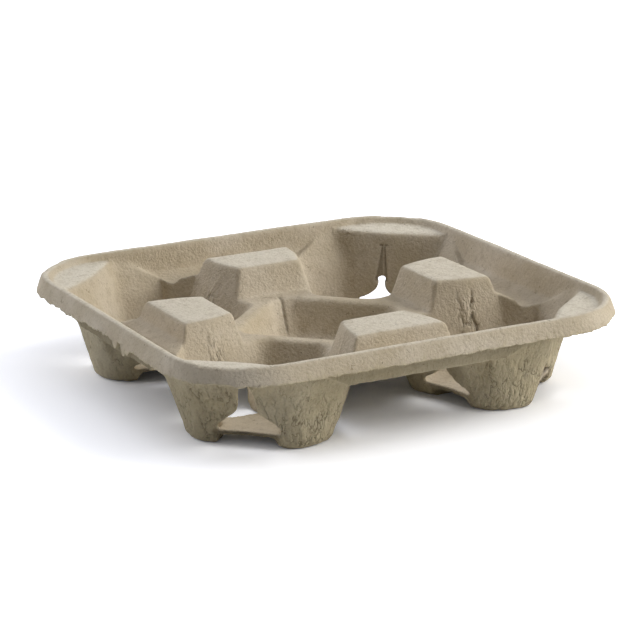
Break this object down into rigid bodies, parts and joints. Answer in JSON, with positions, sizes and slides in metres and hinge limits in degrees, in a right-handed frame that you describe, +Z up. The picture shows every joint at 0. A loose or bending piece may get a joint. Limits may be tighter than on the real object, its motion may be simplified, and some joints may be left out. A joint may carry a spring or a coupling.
{
  "type": "moulded pulp cup carrier tray",
  "caption": "Moulded pulp carrier tray for take-away cups: slotted cells with feet, raised blocks between them, a middle pocket and a rolled rim.",
  "frame": {"origin": "on the ground under the middle of the tray, which stands on its feet", "axes": "+Z up; X and Y along the two pairs of straight sides, with the corner of the tallest slot at -X -Y"},
  "size_m": [0.215, 0.215, 0.0436],
  "materials": {
    "pulp": "moulded paper pulp, unbleached grey-beige, matt, with fibres and specks showing"
  },
  "bodies": {
    "root": {"tray": "pulp"}
  },
  "joints": []
}
